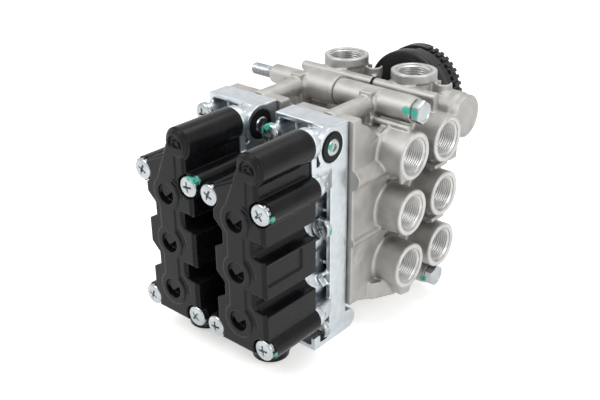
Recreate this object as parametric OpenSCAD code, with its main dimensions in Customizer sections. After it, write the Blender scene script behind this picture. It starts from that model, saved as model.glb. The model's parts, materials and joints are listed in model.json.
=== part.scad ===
// Double solenoid valve block: two banks side by side, each with a moulded solenoid
// cover, a die-cast middle plate and a cast valve body, and one silencer behind them.
// Millimetres, +Z up. X runs across the banks towards the side ports, Y runs from the
// covers back to the silencer. The feet of the middle plates stand on Z = 0, and the
// origin is the middle of the block's outer box on that plane.

/* [Banks] */
// Distance between the two banks, and the width of one cast body
bank_pitch = 55; // [54:0.5:57]
// Middle line of a bank, from the joint face between the two bodies
bank_axis_x = 25.3; // [24.8:0.1:25.9]
// Distance between neighbouring solenoids
solenoid_pitch = 31.8; // [31.3:0.1:32.4]
// Height of the middle solenoid above the feet
middle_solenoid_z = 70.4; // [70.1:0.1:71.2]
// Offset of the solenoid axes from the bank's middle line
solenoid_offset = 1.35; // [1.2:0.05:1.5]
// Running clearance between a sliding piece and its bore, on the radius
slide_clearance = 0.05; // [0.03:0.01:0.09]
// Clearance around pieces that only sit in place
seat_clearance = 0.15; // [0.1:0.01:0.2]

/* [Solenoid cover] */
// Length of the cover from its front edge to the seal
cover_length = 42.1; // [42.1:0.5:45.3]
// Height of the raised front panel
panel_rise = 2; // [1:0.1:2.5]
// Distance from the bank's middle line to the cover's right wall
cover_right = 22.5; // [21.6:0.1:23.2]
// Distance from the bank's middle line to the cover's left wall
cover_left = 16.8; // [16.4:0.1:17.8]
// Height of the cover's bottom edge above the feet
cover_bottom_z = 19.7; // [19.2:0.1:20.5]
// Radius of the round hood at the top
hood_radius = 9.9; // [9.2:0.1:10.2]
// Height of the hood's axis above the feet
hood_z = 135.5; // [134.8:0.1:136.4]
// Offset of the hood's axis from the bank's middle line
hood_offset = 12.5; // [11.9:0.1:12.9]
// Radius of the screw ears
ear_radius = 7.5; // [7.1:0.1:8]
// Sideways distance from the middle line to the cover screws
cover_screw_x = 19.2; // [18.8:0.1:19.6]
// Height of the upper cover screws above the feet
upper_screw_z = 111.4; // [111.1:0.1:112.2]
// Height of the lower cover screws above the feet
lower_screw_z = 25.5; // [25.2:0.1:26.3]
// Diameter of the round blind dimples in the front
dimple_d = 12.5; // [10.8:0.1:13.5]
// Distance between the two deep side grooves
groove_pitch = 33.4; // [32.9:0.1:34]
// Outer diameter of the connector shell
connector_d = 22.6; // [21.6:0.1:23.7]
// Height of the connector's mouth above the feet
connector_mouth_z = 2.8; // [2:0.1:4]
// Distance from the joint plane forward to the connector's axis
connector_y = 50.9; // [49.6:0.1:51.8]

/* [Solenoids] */
// Outer diameter of a coil
coil_d = 25.9; // [23.7:0.1:26.3]
// Length of a coil
coil_length = 30.2; // [25.9:0.5:32.4]
// Outer diameter of the guide tubes
guide_d = 12.9; // [12.7:0.1:13.8]
// Diameter of the sliding armatures
armature_d = 10.8; // [9.7:0.1:11]
// Travel of the armatures
armature_travel = 1.2; // [0.8:0.1:1.6]
// Length of the armatures
armature_length = 20.5; // [18.3:0.5:21.6]

/* [Middle plate] */
// Width of the middle plate
plate_w = 42.1; // [41:0.1:42.5]
// Height of the middle plate
plate_h = 142.4; // [141:0.2:143.6]
// Depth of the plate's rim, from the joint plane forward
rim_depth = 16; // [15.2:0.1:17]
// Depth of the plate with the raised seat for the cover
seat_depth = 32.6; // [31.8:0.1:33.4]
// Wall thickness of the rim
rim_wall = 3.2; // [2.8:0.1:3.7]
// Thickness of the plate's floor
floor_t = 5.4; // [4.7:0.1:6.5]
// Depth of the foot, forward of the joint plane
foot_front = 30.2; // [29.5:0.1:31]
// Depth of the foot, behind the joint plane
foot_back = 9.5; // [9.2:0.1:9.8]
// Height of the vent ring's axis above the feet
vent_z = 130.3; // [129.8:0.1:130.7]
// Outer diameter of the rubber vent ring
vent_ring_d = 18.3; // [17.3:0.1:19]

/* [Valve body] */
// Diameter of the valve bores
valve_bore_d = 23.7; // [21.6:0.1:24.2]
// Distance from the joint plane back to the valve seats
valve_seat_y = 47; // [46:0.1:48]
// Travel of the pistons
piston_travel = 3.2; // [2:0.1:3.4]
// Distance between the rows of side ports
port_row_pitch = 37.7; // [37:0.1:38.4]
// Height of the middle row of side ports above the feet
middle_port_z = 75; // [74.4:0.1:75.6]
// Distance from the joint plane back to the front column of side ports
front_port_y = 38.4; // [38:0.1:39]
// Distance between the two columns of side ports
port_column_pitch = 35.9; // [35.4:0.1:36.4]
// Distance from the joint face between the bodies to the side port mouths
port_face_x = 65.2; // [64:0.1:67]
// Outer diameter of the side port bosses
port_boss_d = 30; // [28.5:0.1:31]
// Nominal thread diameter of the ports
port_thread_d = 22; // [20:0.5:23]
// Thread pitch of the ports
port_thread_pitch = 1.5; // [1:0.25:2]
// Depth of the ports' threaded stretch
port_thread_depth = 14; // [12:0.5:15]
// Height of the top port's rim above the feet
top_port_z = 146.7; // [146:0.1:148]
// Distance from the joint plane back to the top port
top_port_y = 89.4; // [88.8:0.1:90]
// Distance from the joint face between the bodies to the top port
top_port_x = 27.5; // [27:0.1:28]
// Outer diameter of the top port's collar
top_port_d = 30; // [29:0.1:31]

/* [Through bolts] */
// Thread diameter of the through bolts
bolt_d = 8; // [7.4:0.1:8.2]
// Diameter of the bolts' rolled shanks
shank_d = 7.2; // [6.8:0.1:7.3]
// Width of the bolt heads across their flats
bolt_head_w = 13; // [12:0.1:14]
// Height of the bolt heads
bolt_head_h = 5.3; // [4.6:0.1:5.8]
// Free length of the studs beyond the left body
stud_length = 19.1; // [16.2:0.1:21.6]
// Distance from the joint plane back to the upper bolt
upper_bolt_y = 47.5; // [47:0.1:47.9]
// Height of the upper bolt above the feet
upper_bolt_z = 137.5; // [137.2:0.1:137.8]
// Distance from the joint plane back to the lower bolt
lower_bolt_y = 73.3; // [72.3:0.1:74.4]
// Height of the lower bolt above the feet
lower_bolt_z = 13.8; // [13.2:0.1:14.6]
// Distance that the right body's bolt tubes stand out past the bank
tube_overhang = 2.9; // [2:0.1:3.5]

/* [Silencer] */
// Diameter of the silencer's front
silencer_d = 61.2; // [60:0.2:63]
// Distance from the joint plane back to the silencer's front face
silencer_y = 106.2; // [105.6:0.1:107]
// Depth from the silencer's front face to its toothed rim
silencer_rim_y = 20.4; // [19:0.1:21]
// Sideways place of the silencer's axis, from the joint face between the bodies
silencer_x = 9.7; // [9.2:0.1:10.4]
// Height of the silencer's axis above the feet
silencer_z = 120.1; // [119.6:0.1:120.8]
// Number of teeth on the silencer's rim
rim_teeth = 40; // [30:1:46]

/* [Hidden] */
$fn = 40;
eps = 0.01;

// Stack along Y: plate seat, seal, cover, front panel.
seal_t = 0.8;
seat_y = -seat_depth;
cover_back_y = seat_y - seal_t;
cover_front_y = cover_back_y - cover_length;
panel_y = cover_front_y - panel_rise;
body_seal_t = 0.8;
body_front_y = body_seal_t;

// Rows, from the top down.
rows = [1, 0, -1];
function solenoid_z(row) = middle_solenoid_z + row * solenoid_pitch;
function port_z(row) = middle_port_z + row * port_row_pitch;
valve_x = bank_axis_x + solenoid_offset;
rear_port_y = front_port_y + port_column_pitch;

// Middle plate.
plate_x0 = 2;
plate_x1 = plate_x0 + plate_w;
vent_y = -14.5;
vent_boss_d = vent_ring_d + 6.5;

// Cover screws: M6 pan heads in spot faces at the front of the ears.
screw_d = 6;
screw_head_d = 13;
screw_head_h = 4.3;
spot_depth = 2.8;
spot_d = screw_head_d + 1.6;
ear_face_y = cover_front_y + spot_depth;
screw_end_y = seat_y + 8.4;
screw_spots = [
    [-cover_screw_x, upper_screw_z], [cover_screw_x, upper_screw_z],
    [-cover_screw_x, lower_screw_z], [cover_screw_x, lower_screw_z]
];

// Plate screws: M6 pan heads on the plate's rim.
plate_screw_spots = [
    [-19.5, 131.4, -22], [14.6, 79.2, -17], [-18.6, 60, -17], [14.2, 9.2, -17.6], [-15.4, 9.2, -17.6]
];
plate_screw_end_y = 11.9;
plate_boss_d = 10.1;

// Solenoids.
coil_back_y = cover_back_y - 2;
coil_front_y = coil_back_y - coil_length;
guide_front_y = coil_front_y - 3.5;
guide_flange_d = guide_d + 4.3;
guide_flange_t = 2;
guide_pocket = 2.2;
guide_flange_y = seat_y + guide_pocket;
guide_wall = guide_d / 2 - armature_d / 2 - slide_clearance;
armature_back_y = guide_flange_y - seat_clearance;
armature_front_y = armature_back_y - armature_length;
core_face_y = armature_front_y - armature_travel - seat_clearance;
armature_spring_r = 2.3;
armature_spring_wire = 0.7;
spring_pocket_depth = 7.5;
spring_pocket_d = 2 * armature_spring_r + armature_spring_wire + 0.7;
armature_spring_turns = 5;

// Pistons: a cup with its spring towards the plate, a stem and a sealing disc.
piston_front_y = piston_travel + 1;
piston_cup_length = 12.4;
piston_floor_t = 2.7;
piston_cup_d = 16.2;
piston_stem_d = 8.6;
piston_disc_d = 18.3;
piston_disc_t = 5.4;
piston_spring_r = 6;
piston_spring_wire = 1.3;
piston_spring_turns = 4;
seat_hole_d = 14;

// Ports.
port_minor_d = port_thread_d - 1.0825 * port_thread_pitch;
port_mouth_d = port_thread_d + 1;
port_chamfer = (port_mouth_d - port_thread_d) / 2;
port_drill_d = 12;
passage_d = 8.6;
gallery_d = 9.7;
link_d = 7.5;
body_top_z = solenoid_z(1) + valve_bore_d / 2 + 12;
body_right_x = 47.2;
gallery_y = valve_seat_y + 8;
gallery_x = valve_x + 3.6;
supply_z = middle_port_z + port_row_pitch / 2;
link_x = 41;
upper_tube_d = 16.8;
upper_tube_seam_d = 19.2;
upper_tube_end_d = 12.9;
thin_split_x = 5.7;
recess_depth = 6;
exhaust_z = port_z(1) + 10;
vent_tube_x = 28;
vent_tube_d = 11.9;

// Through bolts and their tubes.
bolt_hole_d = bolt_d + 0.5;
tube_end_x = bank_pitch + tube_overhang;
washer_t = 0.8;
washer_d = bolt_head_w - 0.6;
lower_tube_d = 15.1;
thin_tube_d = 7.1;
thin_tube_y = 76;
thin_tube_z = 136.4;
thin_seal_t = 0.9;
thin_seal_d = thin_tube_d + 0.6;

// Silencer.
silencer_boss_d = 28;
silencer_bore_d = 22;
silencer_boss_y = silencer_y - 1.2;
silencer_shell_t = 2;

// The block's outer box, which places the origin.
outer_x0 = -bank_pitch - stud_length;
outer_y0 = panel_y;
silencer_back_y = silencer_y + silencer_rim_y + 12.9;
origin_x = (outer_x0 + port_face_x) / 2;
origin_y = (outer_y0 + silencer_back_y) / 2;

// Extrudes an outline drawn as [x, z] from y0 back to y1.
module along_y(y0, y1) {
    translate([0, y1, 0]) rotate([90, 0, 0]) linear_extrude(y1 - y0) children();
}

// Extrudes an outline drawn as [y, z] from x0 to x1.
module along_x(x0, x1) {
    translate([x0, 0, 0]) rotate([90, 0, 90]) linear_extrude(x1 - x0) children();
}

// A round bar along each axis, from a start to an end.
module bar_x(x0, x1, y, z, d) {
    translate([x0, y, z]) rotate([0, 90, 0]) cylinder(d = d, h = x1 - x0);
}

module bar_y(y0, y1, x, z, d) {
    translate([x, y0, z]) rotate([-90, 0, 0]) cylinder(d = d, h = y1 - y0);
}

module bar_z(z0, z1, x, y, d) {
    translate([x, y, z0]) cylinder(d = d, h = z1 - z0);
}

// A cone along X, from its wide end at x0 to its narrow end at x1.
module cone_x(x0, x1, y, z, d0, d1) {
    translate([x0, y, z]) rotate([0, 90, 0]) cylinder(d1 = d0, d2 = d1, h = x1 - x0);
}

// A rectangle with round corners, from its low corner to its high one.
module round_rect(x0, y0, x1, y1, r) {
    translate([x0 + r, y0]) square([x1 - x0 - 2 * r, y1 - y0]);
    translate([x0, y0 + r]) square([x1 - x0, y1 - y0 - 2 * r]);
    for (x = [x0 + r, x1 - r], y = [y0 + r, y1 - r])
        translate([x, y]) circle(r = r);
}

// A block from its low corner to its high one.
module block(low, high) {
    translate(low) cube([for (k = [0:2]) high[k] - low[k]]);
}

// A flat ring along Y.
module ring_y(y0, y1, x, z, outer_d, inner_d) {
    difference() {
        bar_y(y0, y1, x, z, outer_d);
        bar_y(y0 - 1, y1 + 1, x, z, inner_d);
    }
}

// One half turn of a spring about Z, which climbs by rise from the side where it starts.
module half_turn(r, wire, rise, side) {
    tilt = asin(rise / (2 * r));
    translate([0, 0, rise / 2])
        rotate([0, side * tilt, 0])
            rotate([0, 0, side > 0 ? 0 : 180])
                rotate([0, 0, 0.5])
                    rotate_extrude(angle = 179) translate([r, 0]) circle(d = wire, $fn = 28);
}

// A coil spring along +Y with flat end rings, between y0 and y1.
module coil_spring(y0, y1, x, z, r, wire, turns) {
    span = y1 - y0 - wire;
    rise = span / (2 * turns);
    translate([x, y0 + wire / 2, z]) rotate([-90, 0, 0]) {
        for (k = [0:2 * turns - 1])
            translate([0, 0, k * rise]) half_turn(r, wire, rise, k % 2 == 0 ? 1 : -1);
        // Round joints between the half turns, and the closed end rings.
        for (k = [1:2 * turns - 1])
            translate([(k % 2 == 0 ? 1 : -1) * sqrt(r * r - rise * rise / 4), 0, k * rise])
                sphere(d = wire * 1.08, $fn = 28);
        for (h = [0, span])
            translate([0, 0, h]) rotate_extrude() translate([r, 0]) circle(d = wire, $fn = 28);
    }
}

// Puts a piece of one bank in place: side 1 is the right bank, side 0 the left one.
module bank(side) {
    translate([(side - 1) * bank_pitch - origin_x, -origin_y, 0]) children();
}

module whole() {
    translate([-origin_x, -origin_y, 0]) children();
}

// Outline of the solenoid cover seen from the front, drawn in by the given inset.
module cover_outline(inset = 0) {
    c = bank_axis_x;
    right = cover_right - inset;
    left = cover_left - inset;
    low = cover_bottom_z + inset;
    waist = cover_screw_x - 1.4 - inset;
    difference() {
        union() {
            polygon([
                [c - left, low], [c + right, low], [c + right, upper_screw_z],
                [c + waist, upper_screw_z + 5.4], [c + waist, hood_z],
                [c + hood_offset - 7 + inset, hood_z + 5.4 - inset],
                [c - 0.6 + inset, hood_z - 8.7 - inset],
                [c - cover_screw_x + 3.9, upper_screw_z + ear_radius - inset],
                [c - left, upper_screw_z + ear_radius / 2 - inset]
            ]);
            translate([c + hood_offset, hood_z]) circle(r = hood_radius - inset);
            intersection() {
                for (s = screw_spots) translate([c + s[0], s[1]]) circle(r = ear_radius - inset);
                translate([c - 43.1, low]) square([86.3, 215.7]);
            }
        }
        right_grooves(inset);
        left_notches(inset);
    }
}

// The deep grooves in the right side: square at the top, round at the bottom.
module right_grooves(inset) {
    groove_top = upper_screw_z - 18.7;
    for (k = [0, 1]) {
        z1 = groove_top - k * groove_pitch + inset;
        x0 = bank_axis_x + cover_right - 8.5 - inset;
        r = 5;
        translate([x0, z1 - 6.5]) square([21.6, 6.5]);
        translate([x0 + r, z1 - 11]) square([21.6, 8.6]);
        translate([x0 + r, z1 - 6]) circle(r = r);
    }
}

// The notches in the left side: slanted at the top, square at the bottom.
module left_notches(inset) {
    notch_top = upper_screw_z - 12.4;
    for (k = [0, 1]) {
        z1 = notch_top - k * groove_pitch + inset;
        x0 = bank_axis_x - cover_left;
        polygon([
            [x0 - 21.6, z1 + 12.9], [x0, z1], [x0 + 6.3 + inset, z1 - 6.9],
            [x0 + 6.3 + inset, z1 - 15.1], [x0, z1 - 19.8], [x0 - 21.6, z1 - 21.6]
        ]);
    }
}

// The chain of round lobes raised on the front panel.
module lobe_chain(inset = 0) {
    c = valve_x;
    lobe_r = dimple_d / 2 + 3.9 - inset;
    for (row = rows) translate([c, solenoid_z(row)]) circle(r = lobe_r);
    translate([c - 6 + inset, solenoid_z(-1)])
        square([12.1 - 2 * inset, 2 * solenoid_pitch]);
    polygon([
        [c - lobe_r + 0.6, solenoid_z(1)], [c + lobe_r - 1.4, solenoid_z(1)],
        [c + lobe_r - 0.6, hood_z - 3.2], [bank_axis_x + hood_offset - 6, hood_z + 2]
    ]);
    translate([bank_axis_x + hood_offset, hood_z]) circle(r = hood_radius - 3.2 - inset);
}

// A ring segment in the [x, z] plane, from one angle to the other.
module arc_band(r, w, a0, a1) {
    steps = 10;
    angles = [for (k = [0:steps]) a0 + (a1 - a0) * k / steps];
    polygon(concat(
        [for (a = angles) [(r + w / 2) * cos(a), (r + w / 2) * sin(a)]],
        [for (k = [steps:-1:0]) [(r - w / 2) * cos(angles[k]), (r - w / 2) * sin(angles[k])]]
    ));
}

// A blind dimple with a V-edged step that fills its upper part.
module dimple(z) {
    r = dimple_d / 2;
    difference() {
        bar_y(panel_y - 1, panel_y + 4.5, valve_x, z, dimple_d);
        along_y(panel_y + 1.5, panel_y + 5.4)
            translate([valve_x, z])
                polygon([
                    [-r - 1, r + 1], [-r - 1, 0], [-5, -0.7], [-2.2, -3.5],
                    [6, 3.3], [r + 1, 5.4], [r + 1, r + 1]
                ]);
    }
}

module connector_shell() {
    x = valve_x;
    y = -connector_y;
    bar_z(connector_mouth_z, cover_bottom_z + 3.2, x, y, connector_d);
    bar_z(cover_bottom_z - 3.2, cover_bottom_z + 3.2, x, y, connector_d + 2.4);
    for (a = [20, 140, 260])
        translate([x, y, connector_mouth_z + 4.3]) rotate([0, 0, a])
            translate([connector_d / 2 - 0.6, -1.6, 0]) cube([1.8, 3.5, 2.4]);
}

connector_wall = 2.2;
connector_depth = 13.6;
connector_cavity_d = connector_d - 2 * connector_wall;
connector_roof_z = connector_mouth_z + connector_depth;
pin_spots = [[3.9, 3.9], [-3.9, 3.9], [-3.9, -3.9], [3.9, -3.9]];
pin_d = 2;
pin_root = 2.8;
pin_free = 7.5;

module solenoid_cover() {
    color("#3a3a3c") difference() {
        union() {
            along_y(cover_front_y, cover_back_y) cover_outline();
            along_y(panel_y + 0.6, cover_front_y + 1) cover_outline(1.4);
            along_y(panel_y, panel_y + 1) lobe_chain();
            connector_shell();
        }
        for (row = rows) {
            dimple(solenoid_z(row));
            for (k = [0, 1])
                along_y(panel_y - 1, panel_y + 1.3 - 0.3 * k)
                    translate([valve_x, solenoid_z(row)]) arc_band(11.2 + 2.6 * k, 1.2, 2, 58);
            bar_y(coil_front_y - seat_clearance, cover_back_y + 1,
                  valve_x, solenoid_z(row), coil_d + 2 * seat_clearance);
            bar_y(guide_front_y - seat_clearance, cover_back_y + 1,
                  valve_x, solenoid_z(row), guide_d + 2 * seat_clearance);
        }
        // The dished top of the hood, with its inverted U left standing.
        along_y(panel_y - 1, panel_y + 1.4) difference() {
            translate([bank_axis_x + hood_offset, hood_z]) circle(r = hood_radius - 4.5);
            translate([bank_axis_x + hood_offset - 10.8, hood_z - 12.9]) square([21.6, 11.4]);
            translate([bank_axis_x + hood_offset, hood_z - 1]) arc_band(3, 0.9, 5, 175);
        }
        for (s = screw_spots) {
            bar_y(panel_y - 1, ear_face_y, bank_axis_x + s[0], s[1], spot_d);
            bar_y(ear_face_y - 1, cover_back_y + 1, bank_axis_x + s[0], s[1],
                  screw_d + 2 * seat_clearance);
        }
        // The sunk panel between the two side grooves.
        along_x(bank_axis_x + cover_right - 1.2, bank_axis_x + cover_right + 2)
            round_rect(cover_front_y + 1, upper_screw_z - 44.2, cover_front_y + 29.8,
                       upper_screw_z - 30.8, 1.6);
        bar_z(connector_mouth_z - 1, connector_roof_z, valve_x, -connector_y, connector_cavity_d);
        for (p = pin_spots)
            bar_z(connector_roof_z - 1, connector_roof_z + pin_root, valve_x + p[0],
                  -connector_y + p[1], pin_d + 0.02);
    }
}

module connector_pins() {
    color("#c9a857") for (p = pin_spots)
        translate([valve_x + p[0], -connector_y + p[1], 0]) {
            translate([0, 0, connector_roof_z + pin_root - 0.02]) mirror([0, 0, 1])
                cylinder(d = pin_d, h = pin_root + pin_free - 0.8);
            translate([0, 0, connector_roof_z - pin_free]) cylinder(d1 = 1, d2 = pin_d, h = 0.8);
        }
}

// A pan head screw with a cross recess, its head seated at y and its tip at tip_y.
module pan_screw(x, z, y, tip_y) {
    translate([x, y, z]) rotate([-90, 0, 0]) {
        difference() {
            translate([0, 0, -screw_head_h]) union() {
                translate([0, 0, 1.2]) cylinder(d = screw_head_d, h = screw_head_h - 1.2);
                cylinder(d1 = screw_head_d - 3.2, d2 = screw_head_d, h = 1.2);
            }
            for (a = [20, 110])
                rotate([0, 0, a]) translate([-3.2, -0.65, -screw_head_h - 1]) cube([6.5, 1.3, 3.7]);
        }
        translate([0, 0, -0.5]) cylinder(d = screw_d, h = tip_y - y - 0.5);
        translate([0, 0, tip_y - y - 1]) cylinder(d1 = screw_d, d2 = screw_d - 1.6, h = 1);
    }
}

module cover_screws() {
    color("#d8dadc") for (s = screw_spots)
        pan_screw(bank_axis_x + s[0], s[1], ear_face_y, screw_end_y);
}

module plate_screws() {
    color("#d8dadc") for (s = plate_screw_spots)
        pan_screw(bank_axis_x + s[0], s[1], s[2],
                  s[1] < tongue_top ? foot_screw_end_y : plate_screw_end_y);
}

// The flat seal between cover and plate follows the solenoids and the screws.
module cover_seal() {
    color("#202022") along_y(cover_back_y, seat_y) difference() {
        intersection() {
            seat_outline(-0.6);
            cover_outline(0.6);
        }
        for (row = rows) translate([valve_x, solenoid_z(row)]) circle(d = guide_flange_d + 0.8);
        for (s = screw_spots)
            translate([bank_axis_x + s[0], s[1]]) circle(d = screw_d + 2 * seat_clearance);
    }
}

module coils() {
    color("#8c5a33") for (row = rows)
        ring_y(coil_front_y, coil_back_y, valve_x, solenoid_z(row), coil_d,
               guide_d + 2 * seat_clearance);
}

// A closed tube with the fixed core in its front end and a flange at the plate.
module guide_tubes() {
    color("#b9bcc0") for (row = rows) {
        z = solenoid_z(row);
        difference() {
            union() {
                bar_y(guide_front_y, guide_flange_y, valve_x, z, guide_d);
                bar_y(guide_flange_y - guide_flange_t, guide_flange_y, valve_x, z, guide_flange_d);
            }
            bar_y(core_face_y, guide_flange_y + 1, valve_x, z, guide_d - 2 * guide_wall);
        }
    }
}

module armature(row) {
    z = solenoid_z(row);
    color("#9a9da1") difference() {
        bar_y(armature_front_y, armature_back_y, valve_x, z, armature_d);
        bar_y(armature_front_y - 1, armature_front_y + spring_pocket_depth, valve_x, z,
              spring_pocket_d);
        for (side = [-1, 1])
            translate([valve_x + side * armature_d / 2 - 0.6, armature_front_y - 1, z - 0.6])
                cube([1.2, armature_length + 2, 1.2]);
    }
}

module armature_spring(row) {
    color("#c4c7ca")
        coil_spring(core_face_y + 0.05, armature_front_y + spring_pocket_depth - 0.05,
                    valve_x, solenoid_z(row), armature_spring_r, armature_spring_wire,
                    armature_spring_turns);
}

// Outline of the plate's raised seat: a band around the solenoids and the screw columns.
module seat_outline(inset = 0) {
    c = bank_axis_x;
    for (row = rows) translate([valve_x, solenoid_z(row)]) circle(r = 13.6 - inset);
    translate([c - 11.9, solenoid_z(-1) - 6.5]) square([23.7, 2 * solenoid_pitch + 12.9]);
    translate([c + hood_offset, hood_z]) circle(r = hood_radius - 0.5 - inset);
    translate([c + hood_offset - 6.5, solenoid_z(1) + 11.7])
        square([12.9, hood_z - solenoid_z(1) - 11.7]);
    for (s = screw_spots) {
        x = sign(s[0]) * (cover_screw_x - 0.8);
        translate([c + x, s[1]]) circle(r = ear_radius - 0.7 - inset);
        translate([c + (s[0] > 0 ? 0 : x), s[1] - 4.3]) square([cover_screw_x - 0.8, 8.6]);
    }
}

// Outline of the plate with its round corners, which also trims the seat's columns.
module plate_outline() {
    round_rect(plate_x0, 0, plate_x1, plate_h, 1);
}

// The foot seen from the side: flat below, with a round rear corner.
module foot_profile() {
    r = foot_h / 2;
    translate([-foot_front, 0]) square([foot_front, 3.2]);
    translate([-rim_depth, 0]) square([rim_depth + foot_back - r, foot_h]);
    translate([foot_back - r, r]) circle(r = r);
}

module middle_plate() {
    c = bank_axis_x;
    rib_zs = [20, 37.5, 52, 68, 87, 101];
    color("#c8cdd0") difference() {
        union() {
            // Tray: a rim around a thin floor.
            along_y(-rim_depth, 0) difference() {
                plate_outline();
                round_rect(plate_x0 + rim_wall, 3.7, plate_x1 - rim_wall, plate_h - rim_wall, 1);
            }
            along_y(-floor_t, 0) plate_outline();
            // Raised seat for the cover, whose columns run back into the tray.
            along_y(seat_y, seat_y + 4.3) seat_outline();
            intersection() {
                along_y(seat_y + 3.2, -rim_depth) seat_outline(1);
                linear_extrude(vent_z - 8) polygon([
                    [plate_x0 - 2, seat_y + 3], [plate_x1 + 5.6, seat_y + 3],
                    [plate_x1, -rim_depth + 1], [plate_x0, -rim_depth + 1]
                ]);
            }
            along_y(-rim_depth - 1, -floor_t + 1) intersection() {
                seat_outline(1);
                plate_outline();
            }
            // Collar behind the hood.
            bar_y(seat_y + 3.2, vent_y, c + hood_offset - 2.6, hood_z - 3, 2 * hood_radius - 4);
            vent_boss();
            // Ribs across the tray, and a bracing cross beside each side groove.
            for (z = rib_zs) block([plate_x0 + 1, -rim_depth + 2.4, z], [plate_x1 - 1, -1, z + 2]);
            along_y(-rim_depth - 5, -1) intersection() {
                for (k = [0, 1], side = [-1, 1])
                    translate([plate_x1 - 6.5, 45 + groove_pitch * k])
                        rotate(45 * side) square([13, 2.2], center = true);
                plate_outline();
            }
            for (x = [-9, 1.6])
                block([c + x, -rim_depth + 1, hood_z - 6], [c + x + 1.8, -1, plate_h - 1]);
            for (s = plate_screw_spots)
                along_y(s[2], -1) intersection() {
                    translate([c + s[0], s[1]]) circle(d = plate_boss_d);
                    plate_outline();
                }
            along_x(plate_x0, plate_x1) foot_profile();
            for (x = [plate_x0, plate_x1 - rim_wall])
                block([x, -foot_front, 0], [x + rim_wall, -rim_depth + 1, toe_wall_h]);
        }
        // The slot behind the foot for the body's tongue.
        block([plate_x0 + 2, 0, tongue_z - 0.4], [plate_x1 - 2, tongue_y + 0.3, 20]);
        for (row = rows) {
            bar_y(seat_y - 1, guide_flange_y, valve_x, solenoid_z(row), guide_flange_d + 0.3);
            bar_y(seat_y, 1, valve_x, solenoid_z(row), 2.7);
        }
        for (s = screw_spots)
            bar_y(seat_y - 1, screw_end_y + 1, c + s[0], s[1], screw_d + 0.02);
        for (s = plate_screw_spots)
            bar_y(s[2] - 1, tongue_y + 0.3, c + s[0], s[1], screw_d + 2 * seat_clearance);
        for (s = plate_screw_spots)
            bar_y(s[2] - 7, s[2], c + s[0], s[1], screw_head_d + 1.4);
        for (s = plate_screw_spots) if (s[1] < tongue_top)
            bar_y(tongue_y, foot_screw_end_y + 0.6, c + s[0], s[1], screw_d + 0.02);
        bar_x(plate_x1 - vent_ring_t, plate_x1 + 1, vent_y, vent_z, vent_ring_d);
        bar_x(plate_x1 - vent_hole_depth, plate_x1, vent_y, vent_z, vent_stem_d + 1);
        // Vent passage back to the body's vent tube.
        bar_x(vent_tube_x - 3.6, plate_x1 - vent_hole_depth + 1, vent_y, vent_z, 4.6);
        bar_y(vent_y - 3.4, 1, vent_tube_x, vent_z, 5.4);
    }
}

// Boss for the vent ring: flush with the side, stepped down towards the middle.
module vent_boss() {
    bar_x(plate_x1 - 3.6, plate_x1, vent_y, vent_z, vent_boss_d);
    bar_x(plate_x1 - 7.6, plate_x1 - 3, vent_y, vent_z, vent_boss_d - 1.8);
    bar_x(plate_x1 - 12.4, plate_x1 - 7, vent_y, vent_z, vent_boss_d - 4.6);
    bar_x(plate_x1 - 19, plate_x1 - 12, vent_y, vent_z, vent_boss_d - 9);
    block([plate_x1 - 19, vent_y, vent_z - 6.5], [plate_x1 - 0.2, -1, vent_z + 10]);
}

vent_ring_t = 2.4;
foot_h = 13.6;
toe_wall_h = 8.6;
tongue_y = 3.2;
tongue_z = 3;
tongue_top = 18;
foot_screw_end_y = 5.6;
vent_hole_depth = 9.7;
vent_stem_d = 5.4;
vent_cap_d = 10;

module vent_ring() {
    color("#1d1d1f") translate([plate_x1 - vent_ring_t, vent_y, vent_z]) rotate([0, 90, 0])
        difference() {
            union() {
                cylinder(d = vent_ring_d - 0.1, h = vent_ring_t);
                cylinder(d = vent_ring_d - 1.4, h = vent_ring_t + 0.5);
            }
            translate([0, 0, -1]) cylinder(d = vent_stem_d + 0.1, h = vent_ring_t + 3.2);
            translate([0, 0, vent_ring_t - 1.4]) cylinder(d = vent_cap_d + 0.2, h = 3.2);
        }
}

module vent_cap() {
    color("#c9cccf") translate([plate_x1, vent_y, vent_z]) rotate([0, 90, 0]) difference() {
        union() {
            translate([0, 0, -1.3]) cylinder(d = vent_cap_d, h = 1.9);
            translate([0, 0, 0.6 - eps]) cylinder(d1 = vent_cap_d, d2 = vent_cap_d - 1.6, h = 0.5);
            translate([0, 0, -7.5]) cylinder(d = vent_stem_d, h = 6.5);
        }
        translate([0, 0, 0.2]) cylinder(d = 4.7, h = 2);
    }
}

module body_seal() {
    color("#202022") along_y(0, body_seal_t) difference() {
        round_rect(plate_x0 + 1, tongue_top + 2.4, plate_x1 - 1, plate_h - 1.6, 2);
        for (row = rows) translate([valve_x, solenoid_z(row)]) circle(d = valve_bore_d + 1);
        translate([vent_tube_x, vent_z]) circle(d = 7.5);
        for (s = plate_screw_spots)
            translate([bank_axis_x + s[0], s[1]]) circle(d = screw_d + 2 * seat_clearance);
    }
}

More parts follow.
